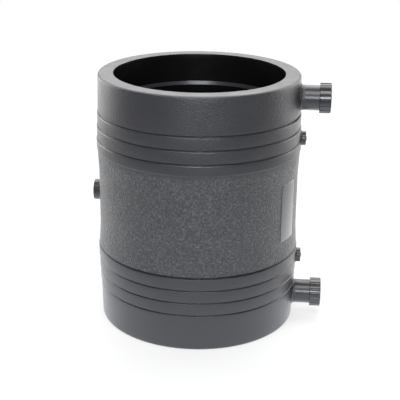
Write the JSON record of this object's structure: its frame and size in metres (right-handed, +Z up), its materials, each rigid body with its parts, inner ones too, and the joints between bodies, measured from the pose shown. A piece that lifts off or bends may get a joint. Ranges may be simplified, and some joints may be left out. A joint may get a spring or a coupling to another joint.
{
  "type": "electrofusion coupler",
  "caption": "Electrofusion pipe coupler: a moulded sleeve with a buried heating wire, two shrouded terminals with pull-off caps, and rising fusion indicators.",
  "frame": {"origin": "on the pipes' axis at the lower end face, which is the centre of the lower mouth", "axes": "+Z up along the pipes' axis, +X towards the two terminals"},
  "size_m": [0.1289, 0.1114, 0.138],
  "materials": {
    "body_moulding": "black polyethylene as moulded, smooth end bands and spark-textured waist",
    "cap_moulding": "black polypropylene as moulded, satin",
    "indicator_moulding": "black polyethylene as moulded, satin",
    "terminal_contact": "brass, tin plated, turned",
    "resistance_wire": "copper-nickel wire, drawn"
  },
  "bodies": {
    "coupler": {"coupler_body": "body_moulding", "heating_coil": "resistance_wire", "upper_terminal_pin": "terminal_contact", "lower_terminal_pin": "terminal_contact"},
    "upper_cap": {"upper_terminal_cap": "cap_moulding"},
    "lower_cap": {"lower_terminal_cap": "cap_moulding"},
    "upper_indicator": {"upper_indicator_pin": "indicator_moulding"},
    "lower_indicator": {"lower_indicator_pin": "indicator_moulding"}
  },
  "joints": [
    {"name": "upper_cap_slide", "type": "slide", "parent": "coupler", "child": "upper_cap", "axis": [1, 0, 0], "range_m": [0, 0.06]},
    {"name": "lower_cap_slide", "type": "slide", "parent": "coupler", "child": "lower_cap", "axis": [1, 0, 0], "range_m": [0, 0.06]},
    {"name": "upper_indicator_slide", "type": "slide", "parent": "coupler", "child": "upper_indicator", "axis": [1, 0, 0], "range_m": [0, 0.0025]},
    {"name": "lower_indicator_slide", "type": "slide", "parent": "coupler", "child": "lower_indicator", "axis": [1, 0, 0], "range_m": [0, 0.0025]}
  ]
}
